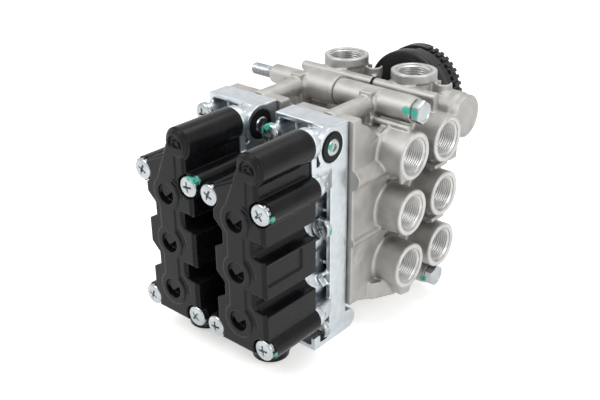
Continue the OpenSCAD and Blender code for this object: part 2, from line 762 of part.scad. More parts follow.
// Outer shape that both bodies share, with the left face at X = 0.
module body_shell(left_d, right_d, thin_x0, thin_x1) {
    side_x = body_right_x;
    low_z = 20;
    // Flange against the plate, and the tongue that drops into the plate's foot.
    along_y(body_front_y, 8.6)
        round_rect(plate_x0, tongue_top + 0.6, side_x, plate_h - 0.8, 1.4);
    block([plate_x0 + 2.4, body_front_y, tongue_z], [plate_x1 - 2.4, tongue_y, low_z + 4]);
    // Valve block with its stepped underside.
    along_y(6.5, valve_seat_y + 15)
        round_rect(4.3, low_z, side_x, body_top_z, 4.3);
    along_x(30, side_x)
        polygon([[5, 26], [5, 19], [11.6, 18.4], [24.6, 13], [32, 14], [36, 26]]);
    along_x(4.3, side_x) polygon([
        [3, plate_h - 1.4], [15.3, plate_h - 7.8], [25, body_top_z - 0.6], [3, body_top_z - 6]
    ]);
    along_y(valve_seat_y + 10, rear_port_y + 24)
        round_rect(6.5, port_z(-1) - 13, side_x, body_top_z - 2, 4.3);
    // Ridges along the right wall and a faint round mark.
    bar_y(body_front_y, front_port_y - 4, side_x - 1.6, 104.4, 13);
    bar_y(body_front_y, front_port_y - 10, side_x - 0.6, 62.6, 5);
    bar_x(side_x - 1, side_x + 0.35, 9.6, 50.7, 8.6);
    // Upper bolt tube: narrow at its left end, with the vent tube that runs back to it.
    bar_x(0, vent_tube_x, upper_bolt_y, upper_bolt_z, left_d);
    bar_x(vent_tube_x, bank_pitch, upper_bolt_y, upper_bolt_z, right_d);
    bar_y(body_front_y, upper_bolt_y, vent_tube_x, upper_bolt_z, vent_tube_d);
    bar_y(upper_bolt_y - 8.6, upper_bolt_y - 3.4, vent_tube_x, upper_bolt_z, vent_tube_d + 2.6);
    block([vent_tube_x - 4.4, upper_bolt_y - 11.8, upper_bolt_z],
          [vent_tube_x + 4.4, upper_bolt_y - 3.4, upper_bolt_z + 8.6]);
    block([vent_tube_x + 1, upper_bolt_y - 12.4, body_top_z - 4],
          [vent_tube_x + 5.4, upper_bolt_y - 2, upper_bolt_z - 3.2]);
    // Web below the bolt tube with the exhaust passage.
    block([silencer_x - 5, upper_bolt_y - 5, body_top_z - 4],
          [silencer_x + 5, upper_bolt_y + 5, upper_bolt_z - 3]);
    // Thin tube along the back, with a flat end and a rib below it.
    bar_x(thin_x0, thin_x1, thin_tube_y, thin_tube_z, thin_tube_d);
    block([bank_pitch - 4.4, thin_tube_y - 2.6, body_top_z - 6],
          [bank_pitch - 1.2, thin_tube_y + 2.4, thin_tube_z]);
    block([10, thin_tube_y + 1, body_top_z - 6], [side_x, thin_tube_y + 8, thin_tube_z - 3]);
    // Top port tower with its collar.
    bar_z(supply_z - 8.6, top_port_z - 5, top_port_x, top_port_y, top_port_d - 4.3);
    bar_z(top_port_z - 6, top_port_z, top_port_x, top_port_y, top_port_d);
    for (a = [-128, -55])
        translate([top_port_x, top_port_y, top_port_z - 10.8]) rotate([0, 0, a])
            translate([top_port_d / 2 - 3.2, -0.9, 0]) cube([2.8, 1.8, 6]);
    // Open clip beside the top port.
    clip_bracket();
    // Lower bolt tube on its web.
    bar_x(0, bank_pitch, lower_bolt_y, lower_bolt_z, lower_tube_d);
    block([9.7, lower_bolt_y - 7, lower_bolt_z], [42.1, lower_bolt_y + 3, port_z(-1) - 4]);
    // Bosses that meet the neighbouring body around the cross passages.
    for (row = rows) bar_x(0, 10.8, rear_port_y, port_z(row), 20.5);
    for (row = rows) bar_x(side_x - 4, bank_pitch, rear_port_y, port_z(row), 20.5);
}

// A thin wall bent to a C around a vertical axis, open to the back.
module clip_bracket() {
    x = bank_pitch - 9.6;
    y = top_port_y + 7.4;
    low_z = top_port_z - 15;
    translate([x, y, low_z]) linear_extrude(top_port_z - 7 - low_z) difference() {
        union() {
            circle(d = 11.4);
            translate([-12, -5.7]) square([12, 1.8]);
        }
        circle(d = 8);
        rotate(50) square([9, 9]);
    }
    block([x - 12, y - 5.7, body_top_z - 8], [x + 5.4, y + 1, low_z + 3]);
}

// The round blind boss beside the top port, with a raised rim around its face.
module blind_cap() {
    y = top_port_y + 8.8;
    z = port_z(1) + 7.6;
    d = 28;
    face_x = port_face_x - 1.6;
    difference() {
        bar_x(body_right_x - 4, face_x, y, z, d);
        bar_x(face_x - 0.8, face_x + 1, y, z, d - 3.4);
    }
    bar_x(body_right_x - 4, face_x - 6, y, z, d + 1.6);
    bar_x(face_x - 1.4, face_x - 0.4, y - 3.7, z - 4.3, 3.7);
}

// Side ports with tapered roots and the ribs between them.
module port_bosses() {
    side_x = body_right_x;
    for (row = rows, y = [front_port_y, rear_port_y]) {
        z = port_z(row);
        bar_x(side_x - recess_depth - 1, port_face_x, y, z, port_boss_d);
        cone_x(side_x - 1.2, side_x + 1.4, y, z, port_boss_d + 3, port_boss_d);
    }
    // Flat ribs that tie the rear bosses together.
    for (row = [0, 1])
        block([side_x - 3.2, rear_port_y - 6, port_z(row) - port_row_pitch / 2 - 1.6],
              [port_face_x - 4, rear_port_y + 8, port_z(row) - port_row_pitch / 2 + 1.6]);
    for (row = [0, 1])
        block([side_x - 3.2, rear_port_y - 3, port_z(row) - port_row_pitch / 2 - 6],
              [port_face_x - 9, rear_port_y + 1, port_z(row) - port_row_pitch / 2 + 6]);
    // Small tooth under the first port and the keel with its chin under the last one.
    along_x(port_face_x - 3.8, port_face_x - 1) polygon([
        [front_port_y - 15, port_z(1) - 3], [front_port_y - 4, port_z(1) - 12],
        [front_port_y - 11.4, port_z(1) - 15.2]
    ]);
    along_x(side_x - 3.2, port_face_x - 1.4) polygon([
        [front_port_y - 14, port_z(-1) - 3], [front_port_y + 9, port_z(-1) - 10],
        [front_port_y + 3, port_z(-1) - port_boss_d / 2 - 6],
        [front_port_y - 6, port_z(-1) - port_boss_d / 2 - 4.4]
    ]);
    // Rod above the first port, below the bolt tube.
    bar_x(vent_tube_x + 3, port_face_x - 5, upper_bolt_y - 9.6, port_z(1) + 16.6, 4.1);
    block([side_x - 6, upper_bolt_y - 11, port_z(1) + 8],
          [port_face_x - 8, upper_bolt_y - 8.2, port_z(1) + 16.4]);
    // Bracket tab behind the first rear port.
    block([port_face_x - 6, rear_port_y + 10, port_z(1) - 17.4],
          [port_face_x - 2.6, rear_port_y + 16.6, port_z(1) - 3]);
    block([side_x - 3.2, rear_port_y + 9, port_z(1) - 18.4],
          [port_face_x - 2.6, rear_port_y + 16.6, port_z(1) - 15.4]);
    // Foot of the casting below the last front port.
    translate([0, 0, 15]) linear_extrude(12)
        polygon([[40, 8], [side_x, 18], [50, 20], [57, 34], [57, 40], [40, 44]]);
    blind_cap();
    // Boss for the silencer.
    bar_y(rear_port_y + 14, silencer_boss_y, silencer_x, silencer_z, silencer_boss_d);
    // Overhanging ends of the two bolt tubes.
    bar_x(bank_pitch - 1, tube_end_x, upper_bolt_y, upper_bolt_z, upper_tube_d - 0.6);
    bar_x(bank_pitch - 1, tube_end_x, lower_bolt_y, lower_bolt_z, lower_tube_d - 1);
}

// Deep recesses in the right wall between the rows of bosses.
module wall_recesses() {
    for (row = [0, 1]) {
        z = port_z(row) - port_row_pitch / 2;
        along_x(body_right_x - recess_depth, body_right_x + 1) polygon([
            [36, z + 7.5], [40, z - 0.7], [33, z - 2.2], [39, z - 7.8],
            [rear_port_y, z - 7.8], [rear_port_y, z + 7.5]
        ]);
    }
}

// A threaded port along X: chamfered mouth, thread core and drilling down to x0.
module port_x(x0, y, z) {
    cone_x(port_face_x - port_chamfer, port_face_x + eps, y, z, port_thread_d, port_mouth_d);
    bar_x(port_face_x - port_thread_depth, port_face_x, y, z, port_minor_d);
    bar_x(x0, port_face_x - port_thread_depth + 1, y, z, port_drill_d);
}

// Bores and passages that both bodies share.
module body_bores() {
    for (row = rows) {
        z = solenoid_z(row);
        bar_y(0, valve_seat_y, valve_x, z, valve_bore_d);
        bar_y(valve_seat_y - 1, gallery_y + 3, valve_x, z, seat_hole_d);
    }
    bar_z(solenoid_z(-1), solenoid_z(1), gallery_x, gallery_y, gallery_d);
    bar_y(gallery_y, top_port_y, gallery_x, supply_z, passage_d);
    bar_z(supply_z - 2, top_port_z - port_thread_depth + 1, top_port_x, top_port_y,
          port_drill_d);
    bar_z(top_port_z - port_thread_depth, top_port_z, top_port_x, top_port_y, port_minor_d);
    translate([top_port_x, top_port_y, top_port_z - port_chamfer])
        cylinder(d1 = port_minor_d, d2 = port_mouth_d + 2 * eps, h = port_chamfer + eps);
    bar_x(-1, tube_end_x + 1, upper_bolt_y, upper_bolt_z, bolt_hole_d);
    bar_x(-1, tube_end_x + 1, lower_bolt_y, lower_bolt_z, bolt_hole_d);
    bar_y(-1, 7.5, vent_tube_x, vent_z, 5.4);
    bar_z(vent_z - 0.8, upper_bolt_z + 0.8, vent_tube_x, 4.3, 4.7);
    bar_y(1.8, upper_bolt_y - 1, vent_tube_x, upper_bolt_z, 5.4);
    for (s = plate_screw_spots) if (s[1] > tongue_top)
        bar_y(0, plate_screw_end_y + 1, bank_axis_x + s[0], s[1], screw_d + 0.02);
    for (s = plate_screw_spots) if (s[1] < tongue_top)
        bar_y(0, tongue_y + 1, bank_axis_x + s[0], s[1], screw_d + 4 * seat_clearance);
}

// Screw bosses behind the flange, closed towards the back.
module screw_bosses() {
    for (s = plate_screw_spots) if (s[1] > tongue_top)
        bar_y(3.2, plate_screw_end_y + 3.2, bank_axis_x + s[0], s[1], 10.8);
}

module seal_grooves(x, face) {
    for (row = rows)
        translate([x, rear_port_y, port_z(row)]) rotate([0, 90, 0])
            rotate_extrude() translate([link_seal_r, 0]) square([2.4, 2.4 * face], center = true);
}

link_seal_r = 7.8;

module right_valve_body() {
    color("#aaa8a3") difference() {
        union() {
            difference() {
                body_shell(upper_tube_d, upper_tube_d, thin_split_x + thin_seal_t / 2,
                           bank_pitch - thin_seal_t);
                wall_recesses();
            }
            port_bosses();
            screw_bosses();
        }
        body_bores();
        for (row = rows) {
            port_x(valve_x, front_port_y, port_z(row));
            port_x(-1, rear_port_y, port_z(row));
        }
        seal_grooves(0, 1);
        // Room for the thin tube's end and its seal.
        bar_x(-1, thin_split_x + thin_seal_t / 2, thin_tube_y, thin_tube_z,
              thin_seal_d + 4 * seat_clearance);
        // Exhaust: from the bolt tube down and back to the silencer.
        bar_z(exhaust_z - 1, upper_bolt_z - 1, silencer_x, upper_bolt_y, 4.4);
        bar_y(upper_bolt_y - 1.6, silencer_boss_y, silencer_x, exhaust_z, 5);
        bar_y(silencer_boss_y - 9.7, silencer_boss_y + 1, silencer_x, silencer_z,
              silencer_bore_d);
    }
}

module left_valve_body() {
    color("#aaa8a3") difference() {
        union() {
            body_shell(upper_tube_end_d, upper_tube_seam_d, thin_seal_t,
                       bank_pitch + thin_split_x - thin_seal_t / 2);
            screw_bosses();
        }
        body_bores();
        for (row = rows) {
            bar_x(valve_x, link_x + 1, front_port_y, port_z(row), passage_d);
            bar_y(front_port_y - 1, rear_port_y + 1, link_x, port_z(row), link_d);
            bar_x(link_x - 1, bank_pitch + 1, rear_port_y, port_z(row), port_drill_d);
            // Keeps the thin tube clear of the rings at the joint.
            bar_x(bank_pitch + eps, bank_pitch + 1.3, rear_port_y, port_z(row),
                  2 * link_seal_r + 2.4);
        }
    }
}

module piston(row) {
    z = solenoid_z(row);
    d = valve_bore_d - 2 * slide_clearance;
    cup_back_y = piston_front_y + piston_cup_length;
    color("#c7b27a") difference() {
        union() {
            bar_y(piston_front_y, cup_back_y, valve_x, z, d);
            bar_y(cup_back_y - 1, valve_seat_y - piston_disc_t + 1, valve_x, z, piston_stem_d);
            bar_y(valve_seat_y - piston_disc_t, valve_seat_y - seat_clearance, valve_x, z,
                  piston_disc_d);
        }
        bar_y(piston_front_y - 1, cup_back_y - piston_floor_t, valve_x, z, piston_cup_d);
        ring_y(cup_back_y - 7, cup_back_y - 4.3, valve_x, z, d + 2, d - 3.2);
    }
}

module piston_spring(row) {
    color("#c4c7ca")
        coil_spring(0.05, piston_front_y + piston_cup_length - piston_floor_t - 0.05,
                    valve_x, solenoid_z(row), piston_spring_r, piston_spring_wire,
                    piston_spring_turns);
}

// A through bolt: hexagon head and washer at the right, free stud at the left.
module through_bolt(y, z) {
    color("#c9ced1") difference() {
        translate([tube_end_x + washer_t, y, z]) rotate([0, 90, 0]) {
            rotate([0, 0, 30])
                cylinder(d = bolt_head_w / cos(30), h = bolt_head_h, $fn = 6);
            translate([0, 0, -washer_t]) cylinder(d = washer_d, h = washer_t + eps);
            translate([0, 0, -tube_end_x - washer_t - bank_pitch])
                cylinder(d = shank_d, h = tube_end_x + bank_pitch + 1);
            translate([0, 0, -tube_end_x - washer_t - bank_pitch - stud_length])
                cylinder(d = bolt_d, h = stud_length);
        }
        translate([tube_end_x + washer_t + bolt_head_h - 0.4, y, z]) rotate([0, 90, 0])
            cylinder(d = bolt_head_w - 2.7, h = 2);
    }
}

// Rings between the two bodies: one around each cross passage, one at the thin tube.
module link_seals() {
    color("#202022") {
        for (row = rows)
            translate([0.55, rear_port_y, port_z(row)]) rotate([0, 90, 0])
                rotate_extrude() translate([link_seal_r, 0]) square([2, 1.1], center = true);
        bar_x(thin_split_x - thin_seal_t / 2, thin_split_x + thin_seal_t / 2,
              thin_tube_y, thin_tube_z, thin_seal_d);
    }
}

// Threaded neck that holds the silencer in the body's boss.
module silencer_neck() {
    x = silencer_x;
    z = silencer_z;
    color("#29292b") difference() {
        union() {
            bar_y(silencer_boss_y - 9.3, silencer_y + 7.5, x, z, silencer_bore_d - 0.1);
            bar_y(silencer_boss_y + 0.05, silencer_y - 0.05, x, z, silencer_boss_d);
        }
        bar_y(silencer_boss_y - 10.8, silencer_y + 8.6, x, z, silencer_bore_d - 5.4);
    }
}

// The silencer's cup: a flat front, a stepped flank and a toothed rim, domed behind.
module silencer_body() {
    x = silencer_x;
    z = silencer_z;
    r = silencer_d / 2;
    wall = silencer_shell_t;
    rim_y = silencer_y + silencer_rim_y;
    color("#2b2b2d") translate([x, 0, z]) union() {
        rotate([90, 0, 0]) rotate_extrude() mirror([0, 1, 0]) polygon([
            [silencer_bore_d / 2 + 0.1, silencer_y], [r - 1, silencer_y],
            [r, silencer_y + 1], [r, silencer_y + 8.6], [r - 1.2, silencer_y + 9.3],
            [r - 1.2, rim_y - 4.3], [r + 0.4, rim_y - 4.3], [r + 0.4, rim_y + 3.2],
            [r - 3.2, rim_y + 8.6], [r - 12.9, silencer_back_y], [0, silencer_back_y],
            [0, silencer_back_y - wall], [r - 14, silencer_back_y - wall],
            [r - 5, rim_y + 5.4], [r - 5, silencer_y + wall],
            [silencer_bore_d / 2 + 0.1, silencer_y + wall]
        ]);
        for (k = [0:rim_teeth - 1])
            rotate([0, 360 * k / rim_teeth, 0])
                translate([r - 2, rim_y - 3.6, -1.4]) cube([3, 5.6, 2.8]);
        // Raised tab at the top of the flank.
        rotate([0, -68, 0]) translate([r - 3.2, silencer_y + 3.2, -8.6]) cube([3.9, 9.7, 17.3]);
    }
}

module silencer_filter() {
    color("#8f8d88") ring_y(silencer_y + silencer_shell_t + 0.3, silencer_back_y - 5.6,
                            silencer_x, silencer_z, silencer_d - 17.3, silencer_bore_d + 4.3);
}

bank(1) solenoid_cover();  // right_solenoid_cover
bank(1) connector_pins();  // right_connector_pins
bank(1) cover_screws();  // right_cover_screws
bank(1) cover_seal();  // right_cover_seal
bank(1) coils();  // right_coils
bank(1) guide_tubes();  // right_guide_tubes
bank(1) armature(1);  // right_upper_armature
bank(1) armature(0);  // right_middle_armature
bank(1) armature(-1);  // right_lower_armature
bank(1) armature_spring(1);  // right_upper_armature_spring
bank(1) armature_spring(0);  // right_middle_armature_spring
bank(1) armature_spring(-1);  // right_lower_armature_spring
bank(1) middle_plate();  // right_middle_plate
bank(1) vent_ring();  // right_vent_ring
bank(1) vent_cap();  // right_vent_cap
bank(1) plate_screws();  // right_plate_screws
bank(1) body_seal();  // right_body_seal
bank(1) right_valve_body();
bank(1) piston(1);  // right_upper_piston
bank(1) piston(0);  // right_middle_piston
bank(1) piston(-1);  // right_lower_piston
bank(1) piston_spring(1);  // right_upper_piston_spring
bank(1) piston_spring(0);  // right_middle_piston_spring
bank(1) piston_spring(-1);  // right_lower_piston_spring
bank(0) solenoid_cover();  // left_solenoid_cover
bank(0) connector_pins();  // left_connector_pins
bank(0) cover_screws();  // left_cover_screws
bank(0) cover_seal();  // left_cover_seal
bank(0) coils();  // left_coils
bank(0) guide_tubes();  // left_guide_tubes
bank(0) armature(1);  // left_upper_armature
bank(0) armature(0);  // left_middle_armature
bank(0) armature(-1);  // left_lower_armature
bank(0) armature_spring(1);  // left_upper_armature_spring
bank(0) armature_spring(0);  // left_middle_armature_spring
bank(0) armature_spring(-1);  // left_lower_armature_spring
bank(0) middle_plate();  // left_middle_plate
bank(0) vent_ring();  // left_vent_ring
bank(0) vent_cap();  // left_vent_cap
bank(0) plate_screws();  // left_plate_screws
bank(0) body_seal();  // left_body_seal
bank(0) left_valve_body();
bank(0) piston(1);  // left_upper_piston
bank(0) piston(0);  // left_middle_piston
bank(0) piston(-1);  // left_lower_piston
bank(0) piston_spring(1);  // left_upper_piston_spring
bank(0) piston_spring(0);  // left_middle_piston_spring
bank(0) piston_spring(-1);  // left_lower_piston_spring
whole() through_bolt(upper_bolt_y, upper_bolt_z);  // upper_bolt
whole() through_bolt(lower_bolt_y, lower_bolt_z);  // lower_bolt
whole() link_seals();
whole() silencer_neck();
whole() silencer_body();
whole() silencer_filter();
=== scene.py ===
import json
import math

import bmesh
import bpy
import numpy as np
from mathutils import Matrix, Vector


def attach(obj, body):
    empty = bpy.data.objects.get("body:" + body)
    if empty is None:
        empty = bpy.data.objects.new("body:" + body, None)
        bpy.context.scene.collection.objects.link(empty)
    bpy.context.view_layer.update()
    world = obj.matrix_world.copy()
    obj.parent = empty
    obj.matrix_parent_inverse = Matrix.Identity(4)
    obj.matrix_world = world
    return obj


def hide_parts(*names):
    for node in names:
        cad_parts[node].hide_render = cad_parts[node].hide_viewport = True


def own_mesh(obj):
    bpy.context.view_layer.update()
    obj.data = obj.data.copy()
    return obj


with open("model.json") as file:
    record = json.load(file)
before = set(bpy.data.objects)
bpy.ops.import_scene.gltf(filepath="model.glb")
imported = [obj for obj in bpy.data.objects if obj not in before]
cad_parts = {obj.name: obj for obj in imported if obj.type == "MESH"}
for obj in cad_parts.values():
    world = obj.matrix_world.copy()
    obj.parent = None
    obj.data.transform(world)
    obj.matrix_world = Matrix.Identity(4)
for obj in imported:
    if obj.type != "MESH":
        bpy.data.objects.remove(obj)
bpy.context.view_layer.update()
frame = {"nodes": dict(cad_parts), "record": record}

scene = bpy.context.scene
mm = 0.001
bodyName = "valve_block"
mounts = {mount["name"]: mount for mount in frame["record"]["mounts"]}
print("frame loaded:", len(frame["nodes"]), "nodes")

# The block's own measures, in millimetres, as the solids have them.
block = {
    "originX": -4.45,
    "originY": 31.0,
    "bankPitch": 55.0,
    "bankAxisX": 25.3,
    "banks": {"right": 0.0, "left": -55.0},
}


def place(x, y, z):  # from the block's own millimetres to the frame's metres
    return Vector(((x - block["originX"]) * mm, (y - block["originY"]) * mm, z * mm))


# Small helpers for meshes and nodes


def addNode(tree, kind, settings=None, inputs=None):
    node = tree.nodes.new(kind)
    for name, value in (settings or {}).items():
        setattr(node, name, value)
    for key, value in (inputs or {}).items():
        if isinstance(value, bpy.types.NodeSocket):
            tree.links.new(value, node.inputs[key])
        else:
            node.inputs[key].default_value = value
    return node


def toLinear(text):  # sRGB hex to a linear RGBA colour
    parts = [int(text[k : k + 2], 16) / 255 for k in (1, 3, 5)]
    return [p / 12.92 if p <= 0.04045 else ((p + 0.055) / 1.055) ** 2.4 for p in parts] + [1.0]


def newPiece(name, mesh, material=None):
    piece = bpy.data.objects.new(name, mesh)
    scene.collection.objects.link(piece)
    if material:
        mesh.materials.clear()
        mesh.materials.append(material)
    return piece


def bakePiece(piece):  # evaluates the modifiers into a plain mesh
    bpy.context.view_layer.update()
    evaluated = piece.evaluated_get(bpy.context.evaluated_depsgraph_get())
    mesh = bpy.data.meshes.new_from_object(evaluated)
    old = piece.data
    piece.modifiers.clear()
    piece.data = mesh
    bpy.data.meshes.remove(old)
    return piece


def weldedCopy(nodeName):  # a solid's mesh with its loose triangles joined
    mesh = frame["nodes"][nodeName].data.copy()
    work = bmesh.new()
    work.from_mesh(mesh)
    bmesh.ops.remove_doubles(work, verts=work.verts, dist=1e-6)
    work.to_mesh(mesh)
    work.free()
    return mesh


def settle(piece, slotName, *nodeNames):  # rides and stands for its nodes
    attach(piece, bodyName)
    if nodeNames:
        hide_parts(*nodeNames)
    return piece


def ringMesh(name, rings, closeStart=True, closeEnd=True):
    # rings of equally many points, joined one after the other
    count = len(rings[0])
    points = [p for ring in rings for p in ring]
    faces = []
    for k in range(len(rings) - 1):
        for j in range(count):
            n = (j + 1) % count
            faces.append((k * count + j, k * count + n, (k + 1) * count + n, (k + 1) * count + j))
    if closeStart:
        faces.append(tuple(range(count))[::-1])
    if closeEnd:
        last = (len(rings) - 1) * count
        faces.append(tuple(range(last, last + count)))
    mesh = bpy.data.meshes.new(name)
    mesh.from_pydata(points, [], faces)
    return tidyMesh(mesh)


def tidyMesh(mesh, angle=32):
    work = bmesh.new()
    work.from_mesh(mesh)
    bmesh.ops.remove_doubles(work, verts=work.verts, dist=1e-6)
    bmesh.ops.dissolve_degenerate(work, edges=work.edges, dist=1e-7)
    bmesh.ops.recalc_face_normals(work, faces=work.faces)
    for face in work.faces:
        face.smooth = True
    for edge in work.edges:
        if len(edge.link_faces) == 2:
            edge.smooth = edge.calc_face_angle() < math.radians(angle)
    work.to_mesh(mesh)
    work.free()
    return mesh


def circleRing(radius, height, count):
    turn = 2 * math.pi / count
    return [
        (radius * math.cos(turn * j) * mm, radius * math.sin(turn * j) * mm, height * mm)
        for j in range(count)
    ]


def latheMesh(name, profile, count=48):  # profile is a list of [radius, height]
    return ringMesh(name, [circleRing(r, h, count) for r, h in profile])


# One turn of a thread, row by row: 0 lies on the root and 1 on the crest.
threadShape = [0.0, 0.12, 0.5, 1.0, 0.62, 0.12]


def threadRings(crest, root, pitch, start, length, endRadius, count):
    # a helix whose rows are sheared by the pitch; what runs out past an end is laid on it
    rows = len(threadShape)
    total = int(length / pitch * rows) + 2 * rows
    rings = []
    for k in range(-rows, total):
        ring = []
        for j in range(count):
            turn = 2 * math.pi * j / count
            height = k * pitch / rows + pitch * j / count
            radius = root + (crest - root) * threadShape[k % rows]
            if height <= 0 or height >= length:
                height = min(max(height, 0), length)
                radius = endRadius
            ring.append((radius * math.cos(turn) * mm, radius * math.sin(turn) * mm,
                         (start + height) * mm))
        rings.append(ring)
    return rings


def threadMesh(name, before, thread, after, count):
    # rings before the thread, the helix, and rings after it; the helix joins turn to turn
    helix = threadRings(count=count, **thread)
    rows = len(threadShape)
    points = [p for ring in helix for p in ring]
    faces = []
    total = len(helix)
    for k in range(total - 1):
        for j in range(count):
            if j < count - 1:
                faces.append((k * count + j, k * count + j + 1,
                              (k + 1) * count + j + 1, (k + 1) * count + j))
            elif k + rows + 1 < total:
                faces.append((k * count + j, (k + rows) * count,
                              (k + rows + 1) * count, (k + 1) * count + j))
    ends = ((before, thread["start"]), (after, thread["start"] + thread["length"]))
    for rings, height in ends:
        base = len(points)
        for ring in [circleRing(thread["endRadius"], height, count)] + rings:
            points.extend(ring)
        for k in range(len(rings)):
            for j in range(count):
                n = (j + 1) % count
                faces.append((base + k * count + j, base + k * count + n,
                              base + (k + 1) * count + n, base + (k + 1) * count + j))
    mesh = bpy.data.meshes.new(name)
    mesh.from_pydata(points, [], faces)
    return mesh


print("helpers ready")

# Finishes


def startMaterial(name):
    material = bpy.data.materials.new(name)
    material.use_nodes = True
    tree = material.node_tree
    tree.nodes.clear()
    coords = addNode(tree, "ShaderNodeTexCoord")
    scaled = addNode(tree, "ShaderNodeMapping", inputs={
        "Vector": coords.outputs["Object"], "Scale": (1000, 1000, 1000)})  # metres to mm
    return material, tree, scaled.outputs["Vector"]


# Nearly all values of a noise lie between these two.
noiseSpan = {"From Min": 0.3, "From Max": 0.7}

# Dabs of teal sealing lacquer, brushed across screws once they are tight: [x, y, z, radius].
lacquer = {
    "colour": "#45ab98",
    "edge": 0.35,        # half the width of a dab's soft edge
    "ragged": 1.6,       # how far a dab's outline strays
    "dabs": [
        [-5.6, -74.0, 116.4, 2.7], [-9.0, -76.0, 117.6, 1.8],   # left bank's upper right screw
        [50.9, -73.6, 110.2, 2.0], [51.0, -73.6, 24.6, 1.8],    # right bank's right cover screws
        [11.2, -73.6, 117.2, 2.0],                              # right bank's upper left screw
        [4.0, -24.0, 136.5, 3.4], [-0.5, -25.0, 133.0, 2.4],    # right bank's upper plate screw
        [45.4, -17.5, 78.5, 2.6], [45.4, -17.5, 7.0, 2.4],      # right bank's side plate screws
        [55.9, 39.8, 139.4, 2.7], [60.4, 40.6, 138.2, 2.7],     # upper through bolt
        [57.5, 67.4, 12.5, 2.6],                                # lower through bolt
        [44.6, -17.0, 131.5, 2.4],                              # vent cap
    ],
}


def lacquerMask(tree, vector):
    wobble = addNode(tree, "ShaderNodeTexNoise", inputs={
        "Vector": vector, "Scale": 0.9, "Detail": 2.0})
    ragged = lacquer["ragged"]
    offset = addNode(tree, "ShaderNodeVectorMath", {"operation": "MULTIPLY_ADD"}, {
        0: wobble.outputs["Color"], 1: (2 * ragged,) * 3, 2: (-ragged,) * 3})
    moved = addNode(tree, "ShaderNodeVectorMath", {"operation": "ADD"}, {
        0: vector, 1: offset.outputs[0]})
    total = None
    for x, y, z, radius in lacquer["dabs"]:
        centre = place(x, y, z) / mm
        distance = addNode(tree, "ShaderNodeVectorMath", {"operation": "DISTANCE"}, {
            0: moved.outputs[0], 1: tuple(centre)})
        part = addNode(tree, "ShaderNodeMapRange", inputs={
            "Value": distance.outputs["Value"], "From Min": radius + lacquer["edge"],
            "From Max": radius - lacquer["edge"], "To Min": 0.0, "To Max": 1.0})
        if total is None:
            total = part.outputs["Result"]
        else:
            total = addNode(tree, "ShaderNodeMath", {"operation": "MAXIMUM"}, {
                0: total, 1: part.outputs["Result"]}).outputs["Value"]
    return total


def finishMaterial(tree, shader, vector, withLacquer):
    out = addNode(tree, "ShaderNodeOutputMaterial")
    surface = shader.outputs["BSDF"]
    if withLacquer:
        paint = addNode(tree, "ShaderNodeBsdfPrincipled", inputs={
            "Base Color": toLinear(lacquer["colour"]), "Roughness": 0.3})
        surface = addNode(tree, "ShaderNodeMixShader", inputs={
            0: lacquerMask(tree, vector), 1: surface, 2: paint.outputs["BSDF"]}).outputs[0]
    tree.links.new(surface, out.inputs["Surface"])


def metalFinish(name, dark, light, rough, grain, depth, streak=None, withLacquer=False,
                patch=9.0):
    # grain, patch and depth in mm: fine texture, broad shades, height of the fine texture
    material, tree, vector = startMaterial(name)
    broad = addNode(tree, "ShaderNodeTexNoise", inputs={
        "Vector": vector, "Scale": 1 / patch, "Detail": 3.0})
    drawn = vector
    if streak:
        drawn = addNode(tree, "ShaderNodeMapping", inputs={
            "Vector": vector, "Scale": streak}).outputs["Vector"]
    fine = addNode(tree, "ShaderNodeTexNoise", inputs={
        "Vector": drawn, "Scale": 1 / grain, "Detail": 2.0})
    shade = addNode(tree, "ShaderNodeMapRange", inputs={
        "Value": broad.outputs["Fac"], "To Min": 0.1, "To Max": 0.65, **noiseSpan})
    blend = addNode(tree, "ShaderNodeMath", {"operation": "MULTIPLY_ADD"}, {
        0: fine.outputs["Fac"], 1: 0.35, 2: shade.outputs["Result"]})
    colour = addNode(tree, "ShaderNodeMix", {"data_type": "RGBA"}, {
        0: blend.outputs["Value"], 6: toLinear(dark), 7: toLinear(light)})
    gloss = addNode(tree, "ShaderNodeMapRange", inputs={
        "Value": broad.outputs["Fac"], "To Min": rough[0], "To Max": rough[1], **noiseSpan})
    relief = addNode(tree, "ShaderNodeBump", inputs={
        "Height": fine.outputs["Fac"], "Distance": depth * mm, "Strength": 1.0})
    shader = addNode(tree, "ShaderNodeBsdfPrincipled", inputs={
        "Base Color": colour.outputs[2], "Metallic": 1.0,
        "Roughness": gloss.outputs["Result"], "Normal": relief.outputs["Normal"]})
    finishMaterial(tree, shader, vector, withLacquer)
    return material


def plasticFinish(name, dark, light, rough, grain, depth, withLacquer=False, level=0.5):
    # grain and depth in mm, as for the metals
    material, tree, vector = startMaterial(name)
    broad = addNode(tree, "ShaderNodeTexNoise", inputs={
        "Vector": vector, "Scale": 1 / 14.0, "Detail": 4.0, "Distortion": 0.4})
    fine = addNode(tree, "ShaderNodeTexNoise", inputs={
        "Vector": vector, "Scale": 1 / grain, "Detail": 3.0})
    shade = addNode(tree, "ShaderNodeMapRange", inputs={
        "Value": broad.outputs["Fac"], "To Min": 0.0, "To Max": 1.0, **noiseSpan})
    colour = addNode(tree, "ShaderNodeMix", {"data_type": "RGBA"}, {
        0: shade.outputs["Result"], 6: toLinear(dark), 7: toLinear(light)})
    gloss = addNode(tree, "ShaderNodeMapRange", inputs={
        "Value": broad.outputs["Fac"], "To Min": rough[0], "To Max": rough[1], **noiseSpan})
    relief = addNode(tree, "ShaderNodeBump", inputs={
        "Height": fine.outputs["Fac"], "Distance": depth * mm, "Strength": 1.0})
    shader = addNode(tree, "ShaderNodeBsdfPrincipled", inputs={
        "Base Color": colour.outputs[2], "Roughness": gloss.outputs["Result"],
        "Specular IOR Level": level, "Normal": relief.outputs["Normal"]})
    finishMaterial(tree, shader, vector, withLacquer)
    return material


